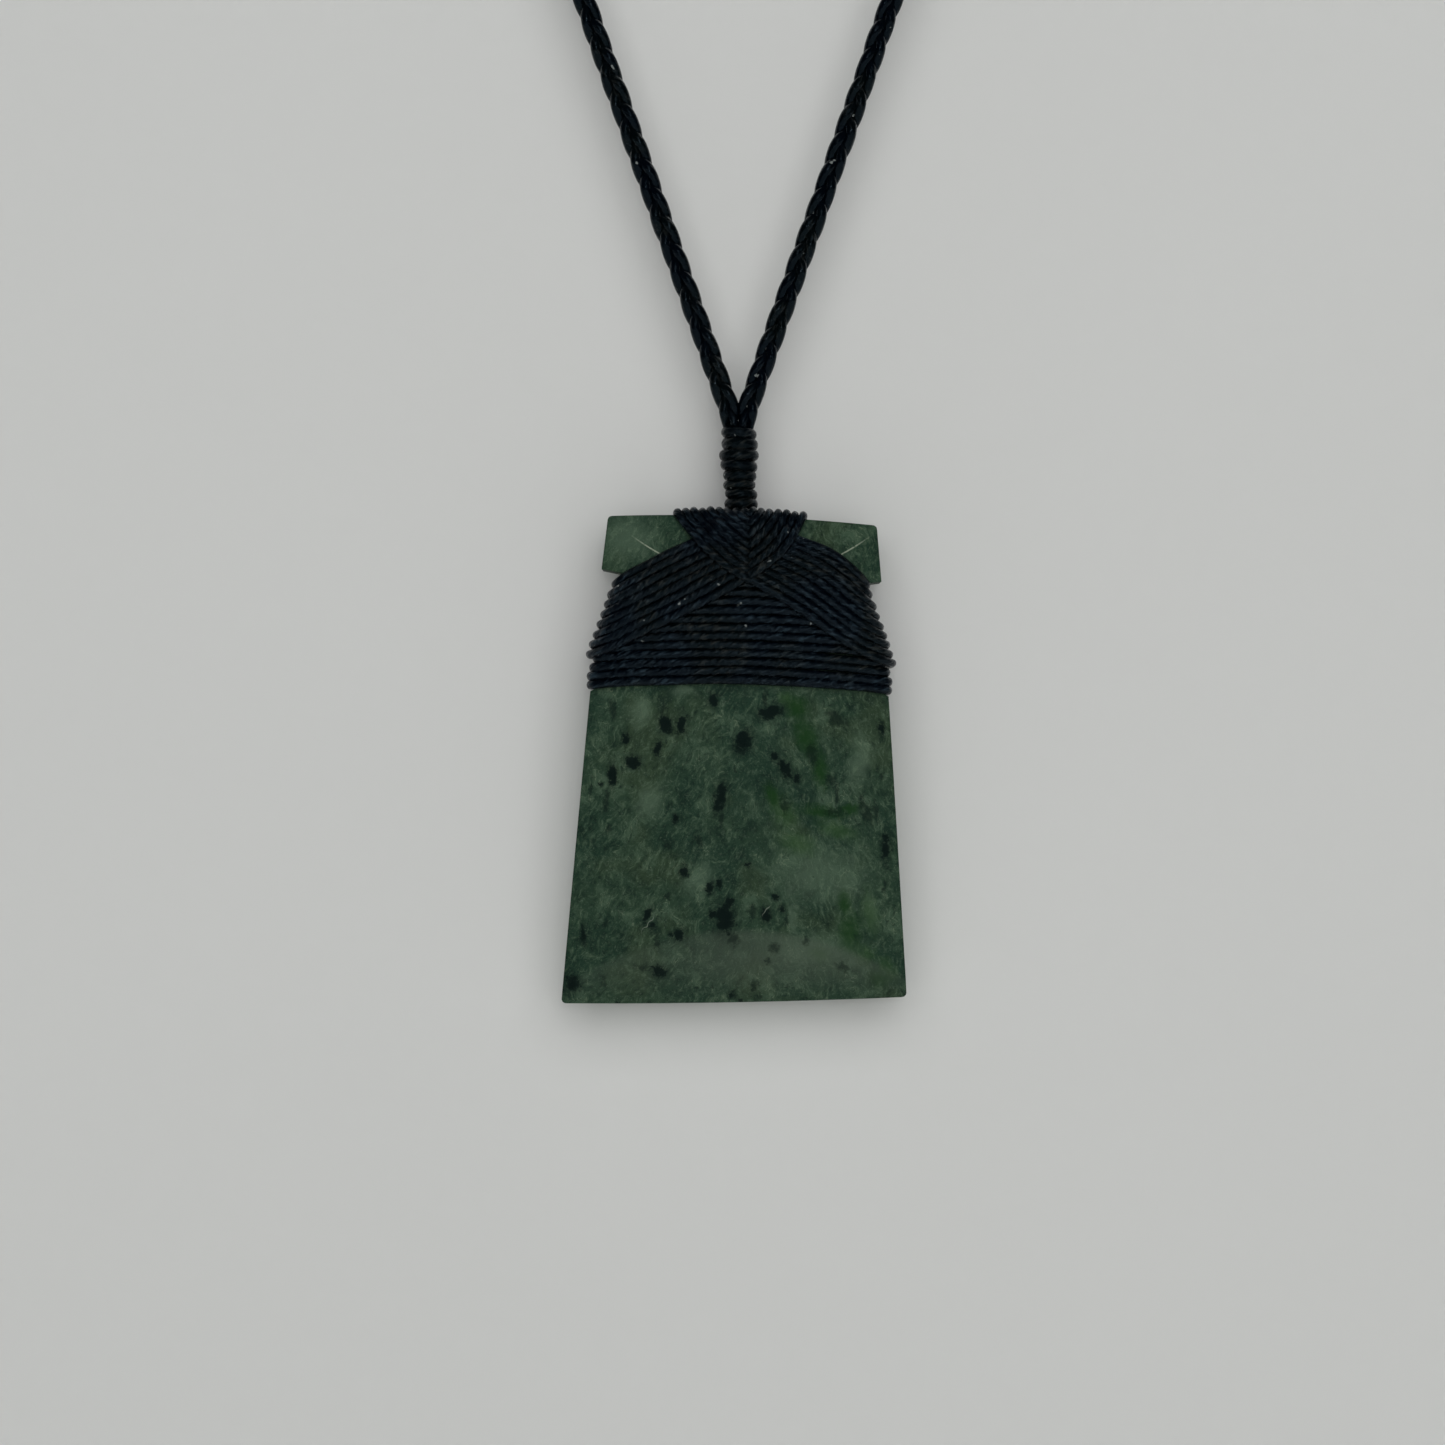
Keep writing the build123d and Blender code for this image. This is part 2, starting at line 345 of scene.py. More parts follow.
class Value:
    """One socket of a material, on which Python's arithmetic adds Math nodes."""

    def __init__(self, finish, socket):
        self.finish = finish
        self.socket = socket

    def math(self, operation, *values):
        inputs = dict(enumerate(values))
        return self.finish.node("Math", {"operation": operation}, inputs)

    def __add__(self, other):
        return self.math("ADD", self, other)

    def __radd__(self, other):
        return self.math("ADD", other, self)

    def __sub__(self, other):
        return self.math("SUBTRACT", self, other)

    def __rsub__(self, other):
        return self.math("SUBTRACT", other, self)

    def __mul__(self, other):
        return self.math("MULTIPLY", self, other)

    def __rmul__(self, other):
        return self.math("MULTIPLY", other, self)

    def __neg__(self):
        return self.math("MULTIPLY", self, -1.0)

    def __abs__(self):
        return self.math("ABSOLUTE", self)

    def least(self, other):
        return self.math("MINIMUM", self, other)

    def most(self, other):
        return self.math("MAXIMUM", self, other)

    def ramp(self, low, high):
        """0 where this is at or below low, 1 at or above high, and smooth between."""
        settings = {"interpolation_type": "SMOOTHSTEP"}
        sockets = {"Value": self, "From Min": low, "From Max": high, "To Min": 0.0, "To Max": 1.0}
        if low > high:
            sockets.update({"From Min": high, "From Max": low, "To Min": 1.0, "To Max": 0.0})
        return self.finish.node("MapRange", settings, sockets)


class Finish:
    """A material made from nodes."""

    def __init__(self, name):
        self.material = bpy.data.materials.new(name)
        self.material.use_nodes = True
        self.tree = self.material.node_tree
        self.tree.nodes.clear()

    def node(self, kind, settings=None, sockets=None, output=0):
        """Adds a node with its settings, then the values or links of its sockets."""
        node = self.tree.nodes.new("ShaderNode" + kind)
        for key, value in (settings or {}).items():
            setattr(node, key, value)
        for key, value in (sockets or {}).items():
            if isinstance(value, Value):
                self.tree.links.new(value.socket, node.inputs[key])
            else:
                node.inputs[key].default_value = value
        return Value(self, node.outputs[output]) if node.outputs else None

    def place(self, output=3):
        """Object coordinates, or the UV map at output 2."""
        return self.node("TexCoord", output=output)

    def local(self, vector, location=(0, 0, 0), turn=0.0, size=(1, 1, 1)):
        """A vector as seen from this place, turned about Y, in units of this size."""
        sockets = {"Vector": vector, "Location": location, "Rotation": (0, turn, 0), "Scale": size}
        return self.node("Mapping", {"vector_type": "TEXTURE"}, sockets)

    def stone_view(self):
        """Object coordinates as millimetres in the stone's own view: across, depth, up."""
        return self.local(self.place(), stone_origin, stone_lean, (mm, mm, mm))

    def split(self, vector):
        node = self.tree.nodes.new("ShaderNodeSeparateXYZ")
        self.tree.links.new(vector.socket, node.inputs[0])
        return [Value(self, output) for output in node.outputs]

    def joined(self, x, y, z):
        return self.node("CombineXYZ", None, {"X": x, "Y": y, "Z": z})

    def stretched(self, vector, scale, shift=(0, 0, 0)):
        return self.node("VectorMath", {"operation": "MULTIPLY_ADD"}, {0: vector, 1: scale, 2: shift})

    def shifted(self, vector, by):
        return self.node("VectorMath", {"operation": "ADD"}, {0: vector, 1: by})

    def length(self, vector):
        return self.node("VectorMath", {"operation": "LENGTH"}, {0: vector}, output=1)

    def noise(self, vector, scale, detail=2.0, roughness=0.5, output=0):
        """Noise about 0.5, or as three numbers at output 1."""
        sockets = {"Vector": vector, "Scale": scale, "Detail": detail, "Roughness": roughness}
        return self.node("TexNoise", {"noise_dimensions": "3D"}, sockets, output)

    def colour(self, mask, under, over):
        """One colour over another where the mask is 1."""
        settings = {"data_type": "RGBA", "blend_type": "MIX", "clamp_factor": True}
        return self.node("Mix", settings, {0: mask, 6: under, 7: over}, output=2)

    def relief(self, height, distance, strength=1.0):
        """The normal of a surface that is uneven by this distance, in metres."""
        return self.node("Bump", None, {"Height": height, "Distance": distance, "Strength": strength})

    def surface(self, **sockets):
        """A Principled surface, with its sockets named in lower case."""
        named = {}
        for key, value in sockets.items():
            named[key.replace("_", " ").title().replace("Ior", "IOR")] = value
        shader = self.node("BsdfPrincipled", None, named)
        self.node("OutputMaterial", None, {"Surface": shader})
        return self.material


def tone(red, green, blue):
    """A colour in scene-linear values, from sRGB values out of 255."""
    def linear(part):
        part = part / 255
        return part / 12.92 if part <= 0.04045 else ((part + 0.055) / 1.055) ** 2.4

    return (linear(red), linear(green), linear(blue), 1.0)


def waxed(name, fuzz, worn_tone, rough, specular):
    """Black waxed thread: fine fibres laid at a slant under a broken sheen, with a little lint."""
    finish = Finish(name)
    along, around, _ = finish.split(finish.place(output=2))
    slanted = finish.joined(along * 0.9, around * 2.2 + along * 1.1, 0.0)
    fibre = finish.noise(slanted, 1.0, 2.0, 0.5)
    lumps = finish.noise(finish.joined(along * 0.5, around * 0.5, 0.0), 1.0, 3.0, 0.6)
    tint = finish.noise(finish.place(), 160.0, 2.0)
    worn = (fibre * 0.8 + lumps * 0.3).ramp(0.55, 0.72)
    black = finish.colour(tint.ramp(0.4, 0.6), tone(0, 2, 7), tone(1, 4, 5))
    faded = finish.colour(tint.ramp(0.42, 0.58), worn_tone, tone(38, 40, 38))
    colour = finish.colour(worn * fuzz, black, faded)
    lint = finish.noise(finish.place(), 900.0, 1.0).ramp(0.76, 0.8)
    colour = finish.colour(lint * 0.8, colour, tone(130, 136, 134))
    normal = finish.relief(fibre, 0.3 * fuzz * mm)
    return finish.surface(
        base_color=colour,
        roughness=rough - 0.1 * worn,
        specular_ior_level=specular,
        specular_tint=(0.55, 0.8, 1.0, 1.0),
        normal=normal,
    )


# The stone's markings on its front, read one by one: middle, whole width and height, and turn clockwise
Patch = namedtuple("Patch", "across up width height turn")
dark_flecks = [
    Patch(-3.0, -21.2, 0.9, 1.5, 0),
    Patch(-8.4, -24.2, 1.4, 1.6, -10),
    Patch(-6.6, -24.1, 1.0, 1.9, 15),
    Patch(-13.0, -25.9, 0.7, 1.0, 10),
    Patch(-12.1, -28.6, 1.4, 1.4, 0),
    Patch(-9.3, -27.0, 0.7, 1.4, 15),
    Patch(-14.5, -30.1, 0.8, 2.1, 5),
    Patch(-15.8, -31.2, 0.4, 0.4, 0),
    Patch(-7.1, -35.0, 0.6, 0.9, 0),
    Patch(0.5, -26.0, 1.7, 2.2, 20),
    Patch(-2.0, -32.5, 1.1, 2.8, 12),
    Patch(3.6, -22.5, 2.5, 1.3, -18),
    Patch(4.2, -27.6, 0.8, 0.8, 0),
    Patch(5.4, -29.0, 1.0, 2.2, -30),
    Patch(6.7, -30.2, 0.6, 1.0, 0),
    Patch(16.5, -24.3, 0.5, 1.1, 0),
    Patch(17.2, -37.8, 0.9, 2.9, 0),
    Patch(-6.0, -41.1, 1.0, 1.3, 0),
    Patch(-3.0, -43.0, 0.8, 1.4, 10),
    Patch(-2.0, -42.5, 0.7, 0.9, 0),
    Patch(-10.2, -46.4, 0.6, 2.0, 28),
    Patch(-9.6, -47.4, 0.6, 0.9, 0),
    Patch(-6.4, -48.4, 1.1, 1.2, 0),
    Patch(-7.4, -48.4, 0.6, 0.6, 0),
    Patch(-1.2, -46.5, 2.0, 3.0, 0),
    Patch(-2.6, -45.9, 0.8, 0.9, 0),
    Patch(-0.7, -44.4, 0.8, 0.8, 0),
    Patch(-17.6, -48.6, 0.6, 1.8, -4),
    Patch(4.5, -43.8, 0.7, 0.7, 0),
    Patch(3.5, -45.9, 0.9, 1.3, 0),
    Patch(5.3, -45.2, 0.6, 0.7, 0),
    Patch(1.3, -40.2, 0.6, 0.5, 0),
    Patch(-0.3, -55.4, 0.9, 0.7, 0),
    Patch(-18.8, -54.3, 1.8, 1.8, -20),
    Patch(-8.7, -52.8, 1.6, 1.3, 10),
]
faint_flecks = [
    Patch(-8.8, -22.6, 0.7, 1.4, 5),
    Patch(-14.6, -22.4, 0.8, 2.8, -10),
    Patch(-15.1, -32.9, 0.6, 2.8, 6),
    Patch(-17.0, -32.0, 0.5, 1.3, 0),
    Patch(-1.8, -34.9, 0.6, 2.0, 0),
    Patch(-14.8, -36.3, 0.7, 1.1, 0),
    Patch(-17.0, -36.3, 0.6, 0.9, 0),
    Patch(-4.4, -37.5, 1.0, 1.6, -25),
    Patch(-8.0, -38.2, 0.8, 1.0, 20),
    Patch(2.9, -20.9, 0.6, 2.1, 0),
    Patch(16.6, -29.6, 0.5, 1.1, 0),
    Patch(14.9, -34.0, 1.4, 2.8, -30),
    Patch(11.0, -33.9, 2.2, 1.0, 0),
    Patch(5.5, -33.1, 1.3, 1.7, 0),
    Patch(8.5, -27.4, 1.3, 2.8, -10),
    Patch(11.3, -23.2, 2.8, 1.4, 30),
    Patch(10.7, -30.3, 1.4, 1.3, 0),
    Patch(11.4, -32.0, 0.5, 3.4, 0),
    Patch(14.3, -32.9, 0.8, 2.2, 0),
    Patch(16.0, -33.8, 0.7, 2.6, -5),
    Patch(-7.8, -43.9, 0.8, 0.8, 0),
    Patch(-0.2, -48.8, 1.6, 2.0, 0),
    Patch(-15.0, -47.3, 0.7, 1.4, 30),
    Patch(1.9, -45.6, 1.1, 1.6, 0),
    Patch(4.5, -49.8, 1.3, 1.4, 0),
    Patch(3.8, -51.3, 0.8, 0.7, 0),
    Patch(8.1, -48.9, 0.8, 1.1, 0),
    Patch(12.7, -52.0, 2.3, 1.0, 25),
    Patch(17.4, -40.2, 0.8, 1.0, 0),
    Patch(2.9, -55.7, 1.8, 0.5, 0),
    Patch(-10.8, -52.3, 1.9, 0.9, 0),
]
deep_veins = [
    Patch(6.6, -22.0, 2.6, 3.0, -15),
    Patch(7.8, -25.4, 2.4, 5.0, -20),
    Patch(9.4, -29.0, 1.8, 4.4, -12),
    Patch(4.0, -32.2, 1.4, 3.0, -25),
    Patch(9.9, -33.9, 5.0, 1.5, 6),
    Patch(13.0, -33.5, 2.6, 1.2, -10),
    Patch(12.6, -44.6, 1.4, 2.8, -10),
    Patch(13.2, -47.8, 2.6, 4.8, -5),
    Patch(16.8, -53.2, 2.4, 2.6, -45),
]
bright_veins = [
    Patch(5.2, -20.9, 1.4, 1.6, -20),
    Patch(5.4, -34.0, 2.6, 4.0, -35),
    Patch(11.5, -36.0, 4.4, 1.8, 15),
    Patch(7.0, -37.6, 4.4, 2.4, 20),
    Patch(15.6, -45.6, 2.0, 5.0, -12),
    Patch(15.2, -50.4, 2.4, 2.6, -40),
    Patch(17.8, -52.0, 1.8, 3.6, -35),
    Patch(9.8, -50.4, 2.6, 1.6, 20),
]
pale_clouds_and_head_light = [
    Patch(9.6, -41.2, 12.0, 7.0, 0),
    Patch(8.4, -41.4, 6.0, 3.9, 0),
    Patch(9.0, -50.0, 12.0, 4.0, 0),
    Patch(6.8, -46.2, 1.4, 3.9, 0),
    Patch(12.5, -42.4, 6.9, 1.0, 28),
    Patch(-4.2, -42.0, 2.8, 4.6, 30),
    Patch(-10.1, -32.9, 3.0, 4.6, 20),
    Patch(14.0, -27.9, 2.8, 6.9, 0),
    Patch(-11.4, -22.8, 2.8, 3.9, 10),
    Patch(-6.5, -20.4, 2.8, 1.4, 0),
    Patch(15.8, -45.2, 1.8, 4.6, -10),
    # The head's left corner: partly its own paler stone, partly painted light, brightest at the top left
    # and fading out towards the lashing.
    Patch(-13.2, -2.8, 7.0, 6.0, 0),
]
scratches = [
    Patch(-10.0, -47.2, 0.09, 6.0, 25),
    Patch(3.3, -45.3, 0.12, 1.8, 33),
]
mark_depth = 5.0  # half of how deep a marking goes


def charted(finish, place, patches):
    """The distance from the nearest patch's middle, which is 1 at its edge."""
    nearest = None
    turned = {}
    for patch in patches:
        turn = math.radians(patch.turn)
        if turn not in turned:
            turned[turn] = finish.local(place, turn=turn)
        middle = Matrix.Rotation(-turn, 3, "Y") @ Vector((patch.across, -front_face.half, patch.up))
        scale = Vector((2 / patch.width, 1 / mark_depth, 2 / patch.height))
        away = finish.length(finish.stretched(turned[turn], scale, -middle * scale))
        nearest = away if nearest is None else nearest.least(away)
    return nearest


def arris_line(edge, height, end, across):
    """How far from a thin edge its ground facet meets the front face: less towards the sides."""
    foot = facet_foot(height, end)
    steepness = (face_reach(front_face, foot) - edge) / height - abs(foot - fullest_drop) / long_radius
    return height - across * across * (0.5 / front_face.crown / steepness)


def strands(finish, place, lean, scale):
    """Thin felted strands that lean this far clockwise from upright."""
    leaning = finish.local(place, turn=math.radians(lean))
    return finish.noise(finish.stretched(leaning, (2.4 * scale, 1.6 * scale, 0.65 * scale)), 1.0, 4.0, 0.68)


def greenstone():
    """Greenstone with a soft polish: clouded greens, felted strands, dark flecks and bright veins."""
    finish = Finish("greenstone")
    view = finish.stone_view()
    across, depth, up = finish.split(view)
    front = (-depth).ramp(0.2, 2.0)
    wide = finish.noise(view, 0.4, 2.0, 0.5, output=1)
    fine = finish.noise(view, 1.9, 3.0, 0.65, output=1)
    bent = finish.shifted(view, finish.stretched(wide, (2.4, 2.4, 2.4), (-1.2, -1.2, -1.2)))
    ragged = finish.shifted(view, finish.stretched(fine, (1.1, 1.1, 1.5), (-0.55, -0.55, -0.75)))

    cloud = finish.noise(bent, 0.12, 3.0, 0.6)
    patchy = finish.noise(bent, 0.36, 5.0, 0.66)
    warm = finish.noise(view, 0.13, 2.0)
    left = across.ramp(5.0, -1.0)
    laid = strands(finish, bent, 28, 1.0) * left + strands(finish, bent, -14, 1.0) * (1 - left)
    hair = strands(finish, bent, 38, 2.2) * left + strands(finish, bent, -30, 2.2) * (1 - left)
    grain = finish.noise(view, 4.5, 3.0, 0.7)
    mottle = finish.noise(bent, 1.3, 5.0, 0.75)
    contour = finish.noise(finish.stretched(bent, (1.1, 1.0, 0.5)), 1.0, 2.0, 0.5)
    fine_hair = abs(contour - 0.5).ramp(0.012, 0.003) * patchy.ramp(0.5, 0.6)

    colour = finish.colour(cloud.ramp(0.36, 0.64), tone(27, 48, 36), tone(38, 57, 42))
    colour = finish.colour(warm.ramp(0.5, 0.66) * 0.5, colour, tone(46, 58, 38))
    colour = finish.colour(patchy.ramp(0.5, 0.68) * 0.7, colour, tone(66, 86, 68))
    colour = finish.colour(patchy.ramp(0.48, 0.3) * 0.75, colour, tone(13, 30, 23))
    colour = finish.colour(laid.ramp(0.51, 0.7) * 0.7, colour, tone(74, 92, 72))
    colour = finish.colour(laid.ramp(0.47, 0.3) * 0.7, colour, tone(10, 26, 19))
    colour = finish.colour(hair.ramp(0.54, 0.76) * patchy.ramp(0.35, 0.6) * 0.5, colour, tone(84, 102, 82))
    colour = finish.colour(hair.ramp(0.46, 0.28) * 0.45, colour, tone(12, 28, 21))
    colour = finish.colour(mottle.ramp(0.53, 0.72) * 0.45, colour, tone(80, 98, 80))
    colour = finish.colour(mottle.ramp(0.45, 0.3) * 0.7, colour, tone(8, 22, 17))
    colour = finish.colour(grain.ramp(0.54, 0.72) * 0.4, colour, tone(92, 108, 90))
    colour = finish.colour(fine_hair * 0.4, colour, tone(110, 124, 100))

    uneven = (mottle - 0.5) * 2.4
    # Pale clouds in the stone, and the painted light on the head's left corner.
    pale = (charted(finish, bent, pale_clouds_and_head_light) + uneven).ramp(1.4, 0.2)
    colour = finish.colour(pale * 0.42, colour, tone(92, 112, 92))
    veins = (charted(finish, ragged, bright_veins) + uneven * 0.5).ramp(1.6, 0.1)
    colour = finish.colour(veins * 0.55, colour, tone(43, 71, 33))
    veins = (charted(finish, ragged, deep_veins) + uneven * 0.5).ramp(1.6, 0.2)
    colour = finish.colour(veins * 0.85, colour, tone(18, 50, 12))

    blade_line = arris_line(blade_edge, front_face.blade_facet, edge_drop, across)
    bevel = (over_edge(across, up) - blade_line).ramp(0.5, -0.7) * front
    worn = bevel * (0.2 + 0.25 * across.ramp(-8.0, 0.0))
    colour = finish.colour(worn, colour, tone(76, 86, 74))

    dark = charted(finish, ragged, dark_flecks)
    halo = (dark + uneven * 0.5).ramp(2.4, 1.0)
    dark = (dark + uneven).ramp(1.6, 0.8)
    faint = (charted(finish, ragged, faint_flecks) + uneven).ramp(1.5, 0.4)
    dots = finish.noise(finish.stretched(ragged, (0.62, 0.62, 0.38)), 1.0, 2.0, 0.5)
    behind = dots.ramp(0.65, 0.72) * (1 - front)
    flecks = (dark * 0.97).most(halo * 0.45).most(faint * 0.65)
    flecks = flecks.most(behind * 0.9).most(dots.ramp(0.68, 0.8) * 0.7)
    colour = finish.colour(flecks, colour, tone(0, 8, 8))

    head_line = arris_line(front_face.head_edge, front_face.head_facet, top_bow, across)
    head_line = head_line + across * 0.02 - 0.25
    from_top = under_top(across, up)
    # A pale line along the head's arris: partly wear on the edge, partly a painted highlight.
    ground = abs(from_top - head_line).ramp(0.13, 0.04) * front * from_top.ramp(6.5, 5.5)
    arris_wear_and_highlight_span = abs(across - 1.0).ramp(14.2, 11.4)
    colour = finish.colour(ground * arris_wear_and_highlight_span * grain.ramp(0.3, 0.5) * 0.85, colour, tone(150, 160, 140))
    scored = charted(finish, bent, scratches).ramp(1.0, 0.5)
    colour = finish.colour(scored * 0.5, colour, tone(130, 140, 126))

    rough = 0.5 + 0.12 * patchy + 0.1 * grain
    normal = finish.relief(grain * 0.4 + laid * 0.6, 0.05 * mm, 0.6)
    return finish.surface(
        base_color=colour,
        roughness=rough,
        specular_ior_level=0.2,
        specular_tint=(0.6, 0.9, 0.8, 1.0),
        normal=normal,
    )


def plain(name, colour, roughness):
    """A quiet surface with a very slight unevenness."""
    finish = Finish(name)
    uneven = finish.noise(finish.place(), 60.0, 2.0)
    shade = finish.colour(uneven * 0.06, colour, (*(part * 0.8 for part in colour[:3]), 1))
    return finish.surface(base_color=shade, roughness=roughness + 0.1 * uneven)


# Camera, backdrop and light

view_centre = (-2.01, -227.7)  # across, and height
view_width = 166.1  # at the front of the stone
view_distance = 400.0
sensor = 36.0
wall_gap = 0.35  # between the pendant and the wall
floor_gap = 90.0  # between the pendant and the floor
sweep_radius = 40.0
sweep_steps = 12
wall_height = 700.0
floor_front = -900.0
backdrop_half_width = 900.0


def photo_camera():
    data = bpy.data.cameras.new("camera")
    data.sensor_width = sensor
    data.lens = sensor * view_distance / view_width
    camera = placed("camera", data)
    camera.location = Vector((view_centre[0], -front_face.half - view_distance, view_centre[1])) * mm
    camera.rotation_euler = (math.pi / 2, 0, 0)
    data.clip_start = 0.01
    bpy.context.scene.camera = camera


def sweep_finish():
    """Plain pale paint, seen from its front only."""
    finish = Finish("backdrop")
    uneven = finish.noise(finish.place(), 8.0, 2.0)
    shade = finish.colour(uneven, tone(213, 214, 212), tone(218, 219, 217))
    paint = finish.node("BsdfPrincipled", None, {"Base Color": shade, "Roughness": 0.9})
    clear = finish.node("BsdfTransparent")
    behind = finish.node("NewGeometry", output=6)
    mixed = finish.node("MixShader", None, {0: behind, 1: paint, 2: clear})
    finish.node("OutputMaterial", None, {"Surface": mixed})
    return finish.material


def backdrop():
    """A floor that curves up into a wall close behind the pendant."""
    wall = cad_high.y / mm + wall_gap
    floor = cad_low.z / mm - floor_gap
    shape = bmesh.new()
    profile = [Vector((-backdrop_half_width, floor_front, floor))]
    for step in range(sweep_steps + 1):
        angle = math.pi / 2 * step / sweep_steps
        depth = wall - sweep_radius * (1 - math.sin(angle))
        height = floor + sweep_radius * (1 - math.cos(angle))
        profile.append(Vector((-backdrop_half_width, depth, height)))
    profile.append(Vector((-backdrop_half_width, wall, wall_height)))
    corners = [shape.verts.new(place * mm) for place in profile]
    edges = [shape.edges.new(pair) for pair in zip(corners, corners[1:])]
    swept = bmesh.ops.extrude_edge_only(shape, edges=edges)["geom"]
    moved = [part for part in swept if isinstance(part, bmesh.types.BMVert)]
    bmesh.ops.translate(shape, verts=moved, vec=Vector((2 * backdrop_half_width * mm, 0, 0)))
    for face in shape.faces:
        face.normal_update()
    highest = max(shape.faces, key=lambda face: face.calc_center_median().z)
    if highest.normal.y > 0:
        bmesh.ops.reverse_faces(shape, faces=shape.faces)
    mesh = smooth_mesh(shape, "backdrop")
    mesh.materials.append(sweep_finish())
    made = placed("backdrop", mesh)
    made.visible_shadow = False


def soft_light(name, away, size, power, gloss):
    """A square soft light that looks at the pendant, this far away from it in metres."""
    data = bpy.data.lights.new(name, "AREA")
    data.shape = "SQUARE"
    data.size = size
    data.energy = power
    light = placed(name, data)
    light.location = Vector((0, 0, view_centre[1] * mm)) + Vector(away)
    light.rotation_euler = (-Vector(away)).to_track_quat("-Z", "Y").to_euler()
    light.visible_glossy = gloss


def surroundings():
    """Dim even light from all round. Past the backdrop the camera sees a pale grey."""
    world = bpy.data.worlds.new("surroundings")
    world.use_nodes = True
    nodes, links = world.node_tree.nodes, world.node_tree.links
    dim = nodes["Background"]
    dim.inputs["Color"].default_value = (0.05, 0.05, 0.05, 1)
    seen = nodes.new("ShaderNodeBackground")
    seen.inputs["Color"].default_value = tone(178, 179, 177)
    direct = nodes.new("ShaderNodeLightPath")
    mixed = nodes.new("ShaderNodeMixShader")
    links.new(direct.outputs["Is Camera Ray"], mixed.inputs[0])
    links.new(dim.outputs[0], mixed.inputs[1])
    links.new(seen.outputs[0], mixed.inputs[2])
    links.new(mixed.outputs[0], nodes["World Output"].inputs["Surface"])
    bpy.context.scene.world = world


def studio():
    """A broad soft light, two small ones for the sheen, and one behind."""
    bpy.context.scene.view_settings.view_transform = "Standard"
    soft_light("softbox", (0.05, -1.0, 0.36), 1.5, 9.45, False)
    soft_light("sheen", (0.1, -0.95, 0.42), 0.4, 0.5, True)
    soft_light("glint", (0.04, -1.0, 0.1), 0.12, 0.5, True)
    soft_light("back", (0.2, 0.8, 0.3), 0.8, 7.0, True)


photo_camera()
backdrop()
surroundings()
studio()


# Finishes of the threads and the cord

thread_finish = waxed("waxed_thread", 0.8, tone(33, 45, 53), 0.29, 0.24)
whipping_finish = waxed("whipping_thread", 0.8, tone(22, 31, 37), 0.3, 0.17)
cord_finish = waxed("plaited_cord", 0.35, tone(12, 18, 22), 0.17, 0.19)


# Neck cord

plait_length = 10.35  # in which a strand goes to the other side of the cord and back
strand_radius = 0.65
plait_reach = 0.66  # of a strand's middle to either side
plait_depth = 0.4  # and in front and behind, where the strands cross
strand_count = 3
strand_step = 0.4  # from one ring of a strand to the next
squeezed = 0.72  # of its thickness, where the cord goes into the neck whipping
squeezed_height = 2.0


def plaited(name, node, route, hand):
    """Three strands plaited along a route. Each goes over to the middle and under to the far side."""
    controls = [(across * mm, 0, (whipping_top + height) * mm) for across, height in route]
    middle = even(smooth_line(controls, 3) / mm, strand_step)
    way = travelled(middle)
    ahead = np.gradient(middle, axis=0)
    ahead /= np.linalg.norm(ahead, axis=1)[:, None]
    front = np.array([0.0, -1.0, 0.0])
    beside = np.cross(ahead, front)
    full = squeezed + (1 - squeezed) * np.clip((middle[:, 2] - whipping_top) / squeezed_height, 0, 1)
    strands = []
    for strand in range(strand_count):
        turn = 2 * math.pi * (way / plait_length + strand / strand_count)
        sideways = hand * plait_reach * np.tanh(np.sin(turn)) / math.tanh(1.0) * full
        depth = -plait_depth * np.sin(2 * turn) * full
        strands.append(middle + sideways[:, None] * beside + depth[:, None] * front)
    made = wound(name, strands, strand_radius * full, cord_finish, closed=False, sides=10)
    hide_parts(node)


plaited("plaited_cord_left", "neck_cord_left", left_route, 1)
plaited("plaited_cord_right", "neck_cord_right", right_route, -1)


# Stone

# A level of the outline: half its width, its drop, its slant, and how far its middle stands up
Level = namedtuple("Level", "half drop slant bow")
row_height = 0.55  # of the grid laid over the outline
columns = 72
shank = [
    Level(waist_width / 2, waist_drop, shoulder_slant, 0.0),
    Level(seat_width / 2, belly_drop, 0.0, 0.0),
    Level(seat_width / 2, seat_drop, 0.0, 0.0),
]


def corner(level, downwards):
    """Levels that round a corner of the outline, from its level towards the stone's middle."""
    rounded = []
    for angle in (0, 30, 60, 90):
        inward = corner_radius * (1 - math.sin(math.radians(angle)))
        further = corner_radius * (1 - math.cos(math.radians(angle)))
        rounded.append(level._replace(half=level.half - inward, drop=level.drop + downwards * further))
    return rounded


levels = [
    *corner(Level(head_top_width / 2, top_bow, top_slant, top_bow), 1),
    Level(head_width / 2, head_height, shoulder_slant, 0.0),
    *shank[:2],
    Level(seat_width / 2, seat_drop - ledge_start, 0.0, 0.0),
    Level(blade_width / 2, seat_drop + ledge_end, 0.0, 0.0),
    *corner(Level(edge_width / 2, edge_drop, edge_slant, -edge_bow), -1)[::-1],
]


def seat_half_width(drop):
    """Half the width of the binding's seat."""
    return np.interp(drop, [level.drop for level in shank], [level.half for level in shank])


def level_height(level, across):
    """How high a level of the outline is at this place across."""
    bowed = level.bow * (1 - (across / level.half) ** 2)
    return across * np.tan(level.slant) - level.drop + bowed


def level_at(share):
    """The stone's outline between its levels."""
    places = np.arange(len(levels))
    return Level(*(np.interp(share, places, values) for values in zip(*levels)))


